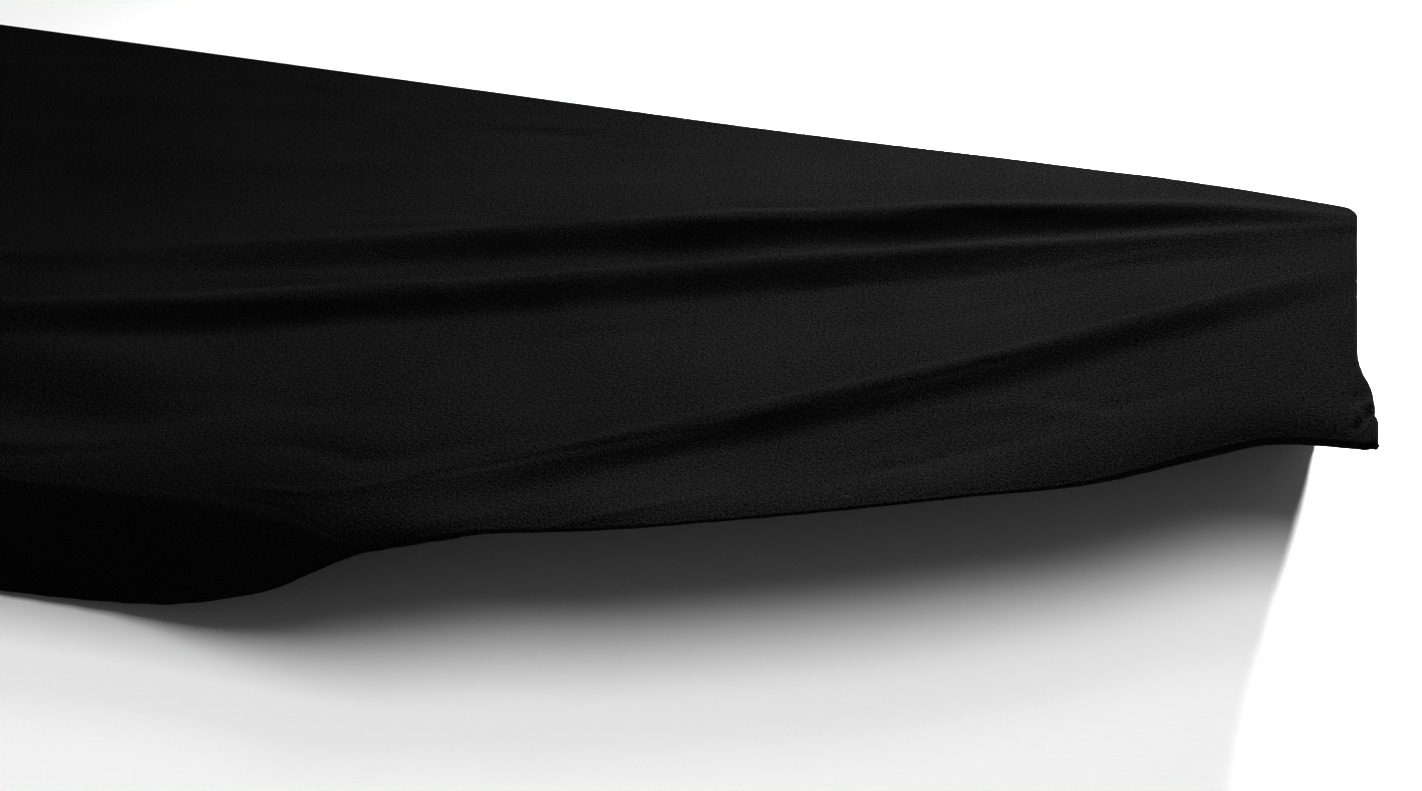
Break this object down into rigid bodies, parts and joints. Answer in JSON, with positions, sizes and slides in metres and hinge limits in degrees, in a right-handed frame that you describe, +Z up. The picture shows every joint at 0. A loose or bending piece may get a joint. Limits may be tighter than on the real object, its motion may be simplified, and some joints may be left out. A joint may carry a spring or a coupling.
{
  "type": "keyboard dust cover",
  "caption": "Fitted black stretch-knit dust cover for an electronic keyboard: hollow, with a turned-in elastic hem, and pulled back from the front right so that folds cross its top.",
  "frame": {"origin": "on the underside of the top panel, at the middle of the cover's length and depth", "axes": "+X along the keyboard towards its right end, +Y towards its back, +Z up"},
  "size_m": [0.9363, 0.285, 0.0773],
  "materials": {
    "knit": "matte black fine stretch knit"
  },
  "bodies": {
    "root": {"cover": "knit"}
  },
  "joints": []
}
